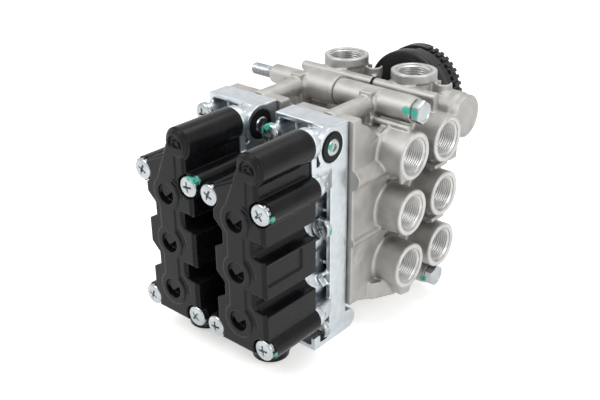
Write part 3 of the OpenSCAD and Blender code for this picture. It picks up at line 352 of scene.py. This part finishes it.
finishes = {
    # glass-filled nylon, injection moulded: near black, half gloss, faint flow marks
    "cover": plasticFinish("mouldedNylonBlack", "#101012", "#17171a", (0.2, 0.32), 0.45, 0.012,
                           True, 0.16),
    # zinc alloy, pressure die-cast and vibro-polished: bright, slightly wavy
    "plate": metalFinish("dieCastZincPolished", "#b3b9be", "#d3d9dd", (0.3, 0.42), 0.9, 0.02,
                         withLacquer=True, patch=5.0),
    # aluminium, pressure die-cast and left plain: matt warm grey skin with flow marks
    "body": metalFinish("dieCastAluminiumPlain", "#989694", "#c0beba", (0.5, 0.64), 0.7, 0.06,
                        withLacquer=True, patch=11.0),
    # aluminium faced off and tapped: bright, turned
    "machined": metalFinish("tappedAluminiumBright", "#a4a4a3", "#d2d2d0", (0.3, 0.44), 0.5,
                            0.01),
    # steel, bright zinc plated: almost white, smooth
    "screw": metalFinish("zincPlatedSteel", "#92979a", "#c3c8ca", (0.2, 0.34), 0.8, 0.01,
                         withLacquer=True),
    # moulded rubber: deep black, dull
    "rubber": plasticFinish("mouldedRubberBlack", "#0b0b0c", "#131314", (0.5, 0.65), 0.5, 0.03,
                            level=0.25),
    # polyamide cup of the silencer: black, fine eroded grain
    "silencer": plasticFinish("mouldedPolyamideGrained", "#101112", "#1a1b1c", (0.36, 0.5),
                              0.6, 0.04, level=0.35),
    # brass turned on a lathe: warm yellow with fine tool marks
    "brass": metalFinish("turnedBrass", "#a5813a", "#d8b869", (0.2, 0.35), 0.5, 0.01),
    # copper wire under varnish: reddish brown, wound in layers
    "coil": metalFinish("varnishedCopperWire", "#7a3a1b", "#b9673a", (0.3, 0.45), 0.45, 0.06,
                        streak=(0.1, 4.0, 0.1)),
    # stainless and armature steel, ground: grey, fine rings
    "steel": metalFinish("groundSteel", "#8d9094", "#c3c6c9", (0.2, 0.35), 0.4, 0.01,
                         streak=(0.3, 3.0, 0.3)),
    # spring wire, drawn: grey, smooth
    "spring": metalFinish("drawnSpringWire", "#84878b", "#c9ccd0", (0.22, 0.35), 0.3, 0.01),
    # sintered polyethylene filter: pale, porous
    "filter": plasticFinish("sinteredPolyethylene", "#8d8a83", "#a9a69e", (0.7, 0.85), 1.1, 0.2),
}
print("finishes ready:", len(finishes))

# Cast and moulded pieces: rounded copies of their solids

# Each row: node, finish, slot, voxel in mm, smoothing passes, share of faces kept.
softPieces = {
    "rightSolenoidCover": ["right_solenoid_cover", "cover", "cover_plastic", 0.45, 2, 0.28],
    "leftSolenoidCover": ["left_solenoid_cover", "cover", "cover_plastic", 0.45, 2, 0.28],
    "rightMiddlePlate": ["right_middle_plate", "plate", "plate_casting", 0.55, 2, 0.3],
    "leftMiddlePlate": ["left_middle_plate", "plate", "plate_casting", 0.55, 2, 0.3],
    "rightValveBody": ["right_valve_body", "body", "body_casting", 0.7, 3, 0.3],
    "leftValveBody": ["left_valve_body", "body", "body_casting", 0.7, 3, 0.26],
}


def softened(pieceName, nodeName, finish, voxel, passes):
    piece = newPiece(pieceName, weldedCopy(nodeName), finishes[finish])
    remesh = piece.modifiers.new("skin", "REMESH")
    remesh.mode = "VOXEL"
    remesh.voxel_size = voxel * mm
    smooth = piece.modifiers.new("fillets", "SMOOTH")
    smooth.factor = 0.5
    smooth.iterations = passes
    return bakePiece(piece)


ports = {
    "depth": 14.0,       # threaded stretch
    "opening": 11.45,    # radius cleared for the threads
    "skim": 0.35,        # taken off the cast face for the machined one
    "major": 11.0,
    "minor": 10.19,
    "pitch": 1.5,
    "mouth": 12.3,       # radius of the chamfered mouth
    "chamfer": 1.3,
    "faceRadius": 14.5,
    "faceRadiusTop": 14.3,
    "faceDepth": 1.9,    # thickness of the machined face's ring
    "runIn": 0.6,        # from the drilled end to the first turn
    "segments": 56,
    "innerWall": 7.5,    # points of the bore's wall lie outside this radius
    "bossEdge": 16.5,    # and points of the boss's face inside this one
    "bottom": 1.2,       # stretch at the drilled end that stays as cast
    "wallPast": 0.5,     # the wall's points reach this far past the face
    "faceBelow": 0.6,    # the face's points lie this far below the skimmed level
    "facePast": 1.0,     # and this far above the cast face
}


def openPorts(piece):  # makes room in the casting for the cut threads
    count = len(piece.data.vertices)
    points = np.zeros(count * 3)
    piece.data.vertices.foreach_get("co", points)
    points = points.reshape(-1, 3)
    for name, mount in mounts.items():
        if mount["kind"] != "threaded_hole":
            continue
        centre = np.array(mount["pos_m"])
        axis = np.array(mount["axis"], float)
        away = points - centre
        along = away @ axis
        across = away - np.outer(along, axis)
        radius = np.linalg.norm(across, axis=1)
        face = ports["depth"] / 2 * mm
        skimmed = face - ports["skim"] * mm
        wall = (along > -face + ports["bottom"] * mm) & (along < face + ports["wallPast"] * mm) \
            & (radius < ports["opening"] * mm) & (radius > ports["innerWall"] * mm)
        grow = ports["opening"] * mm / np.maximum(radius[wall], 1e-6)
        points[wall] = centre + np.outer(along[wall], axis) + across[wall] * grow[:, None]
        front = (along > skimmed - ports["faceBelow"] * mm) \
            & (along < face + ports["facePast"] * mm) & (radius < ports["bossEdge"] * mm)
        capped = np.minimum(along[front], skimmed)
        points[front] += np.outer(capped - along[front], axis)
    piece.data.vertices.foreach_set("co", points.ravel())
    piece.data.update()


def thinned(piece, keep):
    decimate = piece.modifiers.new("thin", "DECIMATE")
    decimate.ratio = keep
    bakePiece(piece)
    for polygon in piece.data.polygons:
        polygon.use_smooth = True


for pieceName, row in softPieces.items():
    nodeName, finish, slotName, voxel, passes, keep = row
    piece = softened(pieceName, nodeName, finish, voxel, passes)
    if "valve_body" in nodeName:
        openPorts(piece)
    thinned(piece, keep)
    settle(piece, slotName, nodeName)
    print("softened", pieceName, len(piece.data.polygons), "faces")

# Things that repeat: one tree that sets a shape on points


def pointMesh(name, points):
    mesh = bpy.data.meshes.new(name)
    mesh.from_pydata([tuple(p) for p in points], [], [])
    return mesh


def placingTree():
    tree = bpy.data.node_groups.new("shapeOnPoints", "GeometryNodeTree")
    sockets = {}
    for label, direction, kind in (
        ("Geometry", "INPUT", "NodeSocketGeometry"), ("Shape", "INPUT", "NodeSocketObject"),
        ("Turn", "INPUT", "NodeSocketVector"), ("Spin", "INPUT", "NodeSocketFloat"),
        ("Fan", "INPUT", "NodeSocketFloat"),
        ("Seed", "INPUT", "NodeSocketInt"), ("Material", "INPUT", "NodeSocketMaterial"),
        ("Geometry", "OUTPUT", "NodeSocketGeometry"),
    ):
        sockets[label + direction] = tree.interface.new_socket(
            label, in_out=direction, socket_type=kind)
    start = addNode(tree, "NodeGroupInput")
    shape = addNode(tree, "GeometryNodeObjectInfo", inputs={"Object": start.outputs["Shape"]})
    turn = addNode(tree, "FunctionNodeEulerToRotation", inputs={0: start.outputs["Turn"]})
    spread = addNode(tree, "GeometryNodeInstanceOnPoints", inputs={
        "Points": start.outputs["Geometry"], "Instance": shape.outputs["Geometry"],
        "Rotation": turn.outputs[0]})
    chance = addNode(tree, "FunctionNodeRandomValue", {"data_type": "FLOAT"}, {
        "Seed": start.outputs["Seed"]})
    tree.links.new(start.outputs["Spin"], chance.inputs[3])
    order = addNode(tree, "GeometryNodeInputIndex")
    fanned = addNode(tree, "ShaderNodeMath", {"operation": "MULTIPLY_ADD"}, {
        0: order.outputs[0], 1: start.outputs["Fan"], 2: chance.outputs[1]})
    angle = addNode(tree, "ShaderNodeCombineXYZ", inputs={"Z": fanned.outputs[0]})
    own = addNode(tree, "FunctionNodeEulerToRotation", inputs={0: angle.outputs[0]})
    spun = addNode(tree, "GeometryNodeRotateInstances", inputs={
        "Instances": spread.outputs[0], "Rotation": own.outputs[0], "Local Space": True})
    real = addNode(tree, "GeometryNodeRealizeInstances", inputs={0: spun.outputs[0]})
    coated = addNode(tree, "GeometryNodeSetMaterial", inputs={
        "Geometry": real.outputs[0], "Material": start.outputs["Material"]})
    addNode(tree, "NodeGroupOutput", inputs={0: coated.outputs[0]})
    return tree, {k: s.identifier for k, s in sockets.items()}


shapeTree, shapeSockets = placingTree()


def setOnPoints(name, points, shapeMesh, turn, finish, spin=0.0, seed=1, fan=0.0):
    shape = newPiece(name + "Shape", shapeMesh)
    piece = newPiece(name, pointMesh(name, points))
    nodes = piece.modifiers.new("shapes", "NODES")
    nodes.node_group = shapeTree
    for key, value in (("Shape", shape), ("Turn", turn), ("Spin", spin), ("Seed", seed),
                       ("Fan", fan), ("Material", finishes[finish])):
        nodes[shapeSockets[key + "INPUT"]] = value
    bakePiece(piece)
    bpy.data.objects.remove(shape)
    return piece


# Cut threads and machined faces of the ports


def portThread(faceRadius):
    count = ports["segments"]
    start = ports["runIn"] - ports["depth"]
    mesh = threadMesh(
        "portThread",
        [circleRing(ports["opening"], start, count),
         circleRing(ports["opening"], -ports["faceDepth"], count),
         circleRing(faceRadius, -ports["faceDepth"], count),
         circleRing(faceRadius, -0.2, count),
         circleRing(faceRadius - 0.2, 0.0, count),
         circleRing(ports["mouth"], 0.0, count),
         circleRing(ports["major"], -ports["chamfer"], count)],
        {"crest": ports["minor"], "root": ports["major"], "pitch": ports["pitch"],
         "start": start, "length": -start - ports["chamfer"],
         "endRadius": ports["major"]},
        [], count)
    return tidyMesh(mesh, 50)


sidePorts = [mount for name, mount in mounts.items() if name.endswith("side_port")]
topPorts = [mount for name, mount in mounts.items() if name.endswith("top_port")]
for name, group, turn, radius in (
    ("sidePortThreads", sidePorts, (0, math.radians(90), 0), ports["faceRadius"]),
    ("topPortThreads", topPorts, (0, 0, 0), ports["faceRadiusTop"]),
):
    points = [Vector(m["pos_m"]) + Vector(m["axis"]) * ports["depth"] / 2 * mm for m in group]
    threads = setOnPoints(name, points, portThread(radius), turn, "machined", 0.9, 4)
    settle(threads, "body_casting")
print("ports threaded:", len(sidePorts) + len(topPorts))

# Pan head screws

panScrew = {
    "radius": 6.5,
    "height": 4.3,
    "crown": 0.5,        # how far the crown falls off
    "edge": 1.5,         # width of the rounded edge
    "armWidth": 0.75,
    "armLength": 3.5,
    "depth": 2.3,
    "wall": 0.35,        # width of the recess's sloped flanks
    "tip": 0.6,          # and of the slope at each arm's tip
    "edgeDrop": 1.3,     # height of the rounded edge
    "rings": 22,
    "edgeRings": 6,
    "segments": 72,
    "shank": 3.0,
}


def panScrewMesh(length):
    radius, height, edge = panScrew["radius"], panScrew["height"], panScrew["edge"]
    flat = radius - edge
    rings = []
    for k in range(panScrew["rings"] + 1):
        share = k / panScrew["rings"]
        r = max(flat * share, 0.02)
        ring = []
        for j in range(panScrew["segments"]):
            turn = 2 * math.pi * j / panScrew["segments"]
            x, y = abs(r * math.cos(turn)), abs(r * math.sin(turn))
            long, short = max(x, y), min(x, y)
            taper = panScrew["armWidth"] * (1.15 - 0.35 * long / panScrew["armLength"])
            inside = min((taper - short) / panScrew["wall"],
                         (panScrew["armLength"] - long) / panScrew["tip"])
            inside = min(max(inside, 0), 1)
            inside = inside * inside * (3 - 2 * inside)
            top = height - panScrew["crown"] * (r / flat) ** 2
            deep = panScrew["depth"] * (1 - 0.3 * long / panScrew["armLength"])
            ring.append((r * math.cos(turn) * mm, r * math.sin(turn) * mm,
                         (top - deep * inside) * mm))
        rings.append(ring)
    shoulder = height - panScrew["crown"]
    for k in range(1, panScrew["edgeRings"] + 1):
        turn = math.pi / 2 * k / panScrew["edgeRings"]
        drop = panScrew["edgeDrop"] * (1 - math.cos(turn))
        rings.append(circleRing(flat + edge * math.sin(turn), shoulder - drop,
                                panScrew["segments"]))
    for r, h in ((radius, 0.25), (radius - 0.3, 0.0), (panScrew["shank"], 0.0),
                 (panScrew["shank"], -length + 1.2), (panScrew["shank"] - 0.9, -length)):
        rings.append(circleRing(r, h, panScrew["segments"]))
    return ringMesh("panScrew", rings)


# Where the screws sit beside each bank's axis: [across, height, seat, tip].
screwSpots = {
    "cover": [[across, height, -72.7, -24.2] for across, height in (
        (-19.2, 111.4), (19.2, 111.4), (-19.2, 25.5), (19.2, 25.5))],
    "plate": [[-19.5, 131.4, -22.0, 11.9], [14.6, 79.2, -17.0, 11.9], [-18.6, 60.0, -17.0, 11.9],
              [14.2, 9.2, -17.6, 5.6], [-15.4, 9.2, -17.6, 5.6]],
    "spin": 1.5,         # screws stop at any angle
    "seeds": {"right": 7, "left": 12},
}
towardsFront = (math.radians(90), 0, 0)
for side, shift in block["banks"].items():
    axisX = block["bankAxisX"] + shift
    points = [place(axisX + u, seat, z) for u, z, seat, tip in screwSpots["cover"]]
    u, z, seat, tip = screwSpots["cover"][0]
    screws = setOnPoints(side + "CoverScrews", points, panScrewMesh(tip - seat), towardsFront,
                         "screw", screwSpots["spin"], screwSpots["seeds"][side])
    settle(screws, "screw_zinc", side + "_cover_screws")
    work = bmesh.new()
    for u, z, seat, tip in screwSpots["plate"]:
        one = setOnPoints("screw", [place(axisX + u, seat, z)], panScrewMesh(tip - seat),
                          towardsFront, "screw", screwSpots["spin"], int(z) + len(side))
        work.from_mesh(one.data)
        bpy.data.objects.remove(one)
    mesh = bpy.data.meshes.new(side + "PlateScrews")
    work.to_mesh(mesh)
    work.free()
    settle(newPiece(side + "PlateScrews", mesh, finishes["screw"]), "screw_zinc",
           side + "_plate_screws")
print("screws set")

# Through bolts with hexagon heads

hexBolt = {
    "flats": 13.0,
    "headHeight": 5.3,
    "washer": 0.8,
    "washerRadius": 6.2,
    "thread": 4.0,
    "shank": 3.6,        # rolled, so thinner than the thread
    "headX": 57.9,       # where the washer face sits
    "tipX": -74.1,
    "threadPitch": 1.25,
    "threadLength": 23.0,
    "threadDepth": 0.68,
    "point": 0.8,        # plain stretch at the tip
    "dish": 0.4,         # hollow in the head's top
    "axes": {"upper": (47.5, 137.5), "lower": (73.3, 13.8)},
    "segments": 72,
}


def hexBoltMesh():
    count = hexBolt["segments"]
    half = hexBolt["flats"] / 2
    top = hexBolt["washer"] + hexBolt["headHeight"]

    def hexRing(inset, chamfer):
        ring = []
        for j in range(count):
            turn = 2 * math.pi * j / count
            fold = (turn + math.pi / 6) % (math.pi / 3) - math.pi / 6
            radius = half / math.cos(fold) - inset
            drop = max(0, radius - half * 0.97) * 0.55 if chamfer else 0
            height = top - drop if chamfer else hexBolt["washer"]
            ring.append((radius * math.cos(turn) * mm, radius * math.sin(turn) * mm,
                         height * mm))
        return ring

    dish = top - hexBolt["dish"]
    rings = [circleRing(0.05, dish, count), circleRing(half * 0.72, dish, count),
             circleRing(half * 0.8, top, count), circleRing(half * 0.96, top, count),
             hexRing(0.12, True), [(x, y, z - 0.18 * mm) for x, y, z in hexRing(0.0, True)],
             hexRing(0.0, False), circleRing(hexBolt["washerRadius"], hexBolt["washer"], count),
             circleRing(hexBolt["washerRadius"], 0.0, count),
             circleRing(hexBolt["shank"], 0.0, count)]
    length = hexBolt["headX"] - hexBolt["tipX"]
    start = -length + hexBolt["point"]
    rings = rings[::-1]
    mesh = threadMesh(
        "hexBolt", [circleRing(hexBolt["thread"] - 1.1, -length, count),
                    circleRing(0.05, -length, count)],
        {"crest": hexBolt["thread"], "root": hexBolt["thread"] - hexBolt["threadDepth"],
         "pitch": hexBolt["threadPitch"], "start": start, "length": hexBolt["threadLength"],
         "endRadius": hexBolt["thread"] - 0.5},
        rings, count)
    work = bmesh.new()
    work.from_mesh(mesh)
    bmesh.ops.remove_doubles(work, verts=work.verts, dist=1e-6)
    bmesh.ops.holes_fill(work, edges=work.edges, sides=0)
    work.to_mesh(mesh)
    work.free()
    return tidyMesh(mesh, 28)


for name, (y, z) in hexBolt["axes"].items():
    bolt = setOnPoints(name + "ThroughBolt", [place(hexBolt["headX"], y, z)], hexBoltMesh(),
                       (0, math.radians(90), 0), "screw", 0.5, 3)
    settle(bolt, "bolt_zinc", name + "_bolt")
print("bolts set")

# Silencer cup with its toothed rim

silencer = {
    "x": 9.7,
    "z": 120.1,
    "front": 106.2,
    "rim": 126.6,
    "back": 139.5,
    "radius": 30.6,
    "wall": 2.0,
    "bore": 11.1,
    "rimRadius": 31.0,
    "toothRoot": 29.2,
    "teeth": 40,
    "plainFrom": 82,     # degrees of the rim's stretch without teeth
    "plainTo": 126,
    "tab": [50, 88],     # degrees of the raised tab on the flank
    "toothHalf": [1.55, 1.2, 0.85],    # half a tooth's width at its root, flank and tip
}


def turnedToBack(mesh):  # stands a turned shape on the silencer's axis
    mesh.transform(Matrix.Translation(place(silencer["x"], 0, silencer["z"]))
                   @ Matrix.Rotation(math.radians(-90), 4, "X"))
    return mesh


def cupProfile():  # from the middle of the inner wall round the mouth to the outer back
    r, root = silencer["radius"], silencer["toothRoot"]
    front, rim, back = silencer["front"], silencer["rim"], silencer["back"]
    wall, bore = silencer["wall"], silencer["bore"]
    return [
        [0.02, back - wall], [r - 14, back - wall], [r - 6, rim + 5.4], [r - 6, front + wall],
        [bore, front + wall], [bore, front], [r - 4.2, front], [r - 3.9, front + 0.5],
        [r - 1.4, front + 0.5], [r - 0.5, front + 0.8], [r, front + 1.7], [r, front + 8.4],
        [r - 0.3, front + 9.0], [r - 1.2, front + 9.4], [r - 1.2, rim - 5.0],
        [root - 0.6, rim - 4.3], [root, rim - 4.0], [root, rim + 3.0], [root - 0.4, rim + 3.4],
        [r - 4.2, rim + 3.6], [r - 4.4, rim + 6.4], [r - 5.2, rim + 7.6],
        [r - 12.5, back - 0.2], [r - 13.6, back], [0.02, back],
    ]


def arcBand(name, inner, outer, low, high, fromAngle, toAngle, edge=0.35, steps=40):
    rings = []
    for k in range(steps + 1):
        turn = math.radians(fromAngle + (toAngle - fromAngle) * k / steps)
        ends = edge if k in (0, steps) else 0
        section = [(inner, low), (outer - edge - ends, low), (outer - ends, low + edge + ends),
                   (outer - ends, high - edge - ends), (outer - edge - ends, high),
                   (inner, high)]
        rings.append([(r * math.cos(turn) * mm, -r * math.sin(turn) * mm, h * mm)
                      for r, h in section])
    return ringMesh(name, rings)


def toothMesh():
    low, high = silencer["rim"] - 4.1, silencer["rim"] + 3.1
    rings = []
    radii = [silencer["toothRoot"] - 1.2, silencer["rimRadius"] - 0.45,
             silencer["rimRadius"] - 0.1]
    for radius, half, inset in zip(radii, silencer["toothHalf"], (0, 0, 0.35)):
        rings.append([(radius * mm, flank * half * mm, h * mm) for flank, h in (
            (-1, low + inset), (1, low + inset), (1, high - inset), (-1, high - inset))])
    return ringMesh("rimTooth", rings)


cup = newPiece("silencerCup", turnedToBack(latheMesh("silencerCup", cupProfile(), 128)),
               finishes["silencer"])
settle(cup, "silencer_plastic", "silencer_body")
axisSpot = place(silencer["x"], 0, silencer["z"])
teeth = setOnPoints("silencerTeeth", [axisSpot] * silencer["teeth"], toothMesh(),
                    (math.radians(-90), 0, 0), "silencer",
                    fan=2 * math.pi / silencer["teeth"])
settle(teeth, "silencer_plastic")
for name, row in {
    "silencerTab": (silencer["radius"] - 2.2, silencer["rimRadius"], silencer["front"] + 2.6,
                    silencer["front"] + 12.6, *silencer["tab"]),
    "silencerPlainRim": (silencer["toothRoot"] - 1.2, silencer["rimRadius"],
                         silencer["rim"] - 4.15, silencer["rim"] + 3.15,
                         silencer["plainFrom"], silencer["plainTo"]),
}.items():
    band = newPiece(name, turnedToBack(arcBand(name, *row)), finishes["silencer"])
    settle(band, "silencer_plastic")
print("silencer built")

# Springs: copies of the nodes that shorten as their armature or piston slides, with fewer faces

springKeep = 0.25  # share of a spring's faces that are kept
for joint in frame["record"]["behaviour"]["joints"]:
    for row in joint["deforming_nodes"]:
        words = row["node"].split("_")
        spring = newPiece(words[0] + "".join(w.title() for w in words[1:]),
                          weldedCopy(row["node"]), finishes["spring"])
        thinned(spring, springKeep)
        settle(spring, "spring_steel", row["node"])
        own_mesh(spring)
print("springs wound")

# Nodes that keep their shape and take a finish

kept = {
    "connector_pins": "brass", "cover_seal": "rubber", "body_seal": "rubber", "coils": "coil",
    "guide_tubes": "steel", "armature": "steel", "vent_ring": "rubber", "vent_cap": "screw",
    "piston": "brass", "link_seals": "rubber", "silencer_neck": "silencer",
    "silencer_filter": "filter",
}
for name, node in frame["nodes"].items():
    ending = next((k for k in kept if name.endswith(k)), None)
    if ending is None or node.hide_render:
        continue
    node.data.materials.clear()
    node.data.materials.append(finishes[kept[ending]])
print("kept nodes finished")

# Floor, camera and light

stage = {
    "size": 6.0,
    "floor": "#f2f2f1",
    "lift": 0.56,        # glow that the camera sees, so that the floor meets the backdrop
    "fill": 0.55,        # light that the backdrop gives
    "backdrop": 1.0,     # and how bright it is seen
    "aim": (0, 0, 0.07),  # where the lamps point
}
floorMesh = bpy.data.meshes.new("floor")
half = stage["size"] / 2
floorMesh.from_pydata([(-half, -half, 0), (half, -half, 0), (half, half, 0), (-half, half, 0)],
                      [], [(0, 1, 2, 3)])
floorMaterial = bpy.data.materials.new("paleStudioFloor")
floorMaterial.use_nodes = True
tree = floorMaterial.node_tree
tree.nodes.clear()


def seenRays(tree):  # camera, mirror and see-through rays
    path = addNode(tree, "ShaderNodeLightPath")
    seen = path.outputs["Is Camera Ray"]
    for ray in ("Is Glossy Ray", "Is Transmission Ray"):
        seen = addNode(tree, "ShaderNodeMath", {"operation": "MAXIMUM"}, {
            0: seen, 1: path.outputs[ray]}).outputs[0]
    return seen


matt = addNode(tree, "ShaderNodeBsdfDiffuse", inputs={"Color": toLinear(stage["floor"])})
glow = addNode(tree, "ShaderNodeEmission", inputs={
    "Color": toLinear(stage["floor"]), "Strength": addNode(
        tree, "ShaderNodeMath", {"operation": "MULTIPLY"},
        {0: seenRays(tree), 1: stage["lift"]}).outputs[0]})
both = addNode(tree, "ShaderNodeAddShader", inputs={0: matt.outputs[0], 1: glow.outputs[0]})
addNode(tree, "ShaderNodeOutputMaterial", inputs={"Surface": both.outputs[0]})
floor = newPiece("floor", floorMesh, floorMaterial)

photoView = {"azimuth": 40.96, "elevation": 26.14, "roll": -0.51, "lens": 54.08,
             "at": (0.34105, -0.4109, 0.3270)}
azimuth, rise = math.radians(photoView["azimuth"]), math.radians(photoView["elevation"])
back = Vector((math.sin(azimuth) * math.cos(rise), -math.cos(azimuth) * math.cos(rise), math.sin(rise)))
right = Vector((math.cos(azimuth), math.sin(azimuth), 0))
turned = Matrix((right, back.cross(right), back)).transposed()
turned = turned @ Matrix.Rotation(math.radians(photoView["roll"]), 3, "Z")
lens = bpy.data.cameras.new("photoCamera")
lens.sensor_width = 36
lens.lens = photoView["lens"]
lens.clip_start = 0.01
camera = bpy.data.objects.new("photoCamera", lens)
scene.collection.objects.link(camera)
camera.matrix_world = Matrix.Translation(photoView["at"]) @ turned.to_4x4()
scene.camera = camera

world = bpy.data.worlds.new("paleStudio")
scene.world = world
world.use_nodes = True
tree = world.node_tree
tree.nodes.clear()
dim = addNode(tree, "ShaderNodeBackground", inputs={
    "Color": (1, 1, 1, 1), "Strength": stage["fill"]})
bright = addNode(tree, "ShaderNodeBackground", inputs={
    "Color": (1, 1, 1, 1), "Strength": stage["backdrop"]})
mixed = addNode(tree, "ShaderNodeMixShader", inputs={
    0: seenRays(tree), 1: dim.outputs[0], 2: bright.outputs[0]})
addNode(tree, "ShaderNodeOutputWorld", inputs={"Surface": mixed.outputs[0]})

# Each lamp: place in metres, width in metres, power in watts.
lamps = {
    "keyLamp": [(-0.35, -0.75, 0.95), 0.55, 6.5],
    "sideLamp": [(0.95, -0.1, 0.55), 0.5, 3.0],
    "topLamp": [(0.1, 0.35, 1.1), 0.6, 3.0],
}
for name, (spot, size, power) in lamps.items():
    light = bpy.data.lights.new(name, "AREA")
    light.size = size
    light.energy = power
    lamp = bpy.data.objects.new(name, light)
    scene.collection.objects.link(lamp)
    lamp.location = spot
    lamp.rotation_euler = (Vector(stage["aim"]) - Vector(spot)).to_track_quat("-Z", "Y").to_euler()
scene.view_settings.view_transform = "Standard"
print("stage ready")
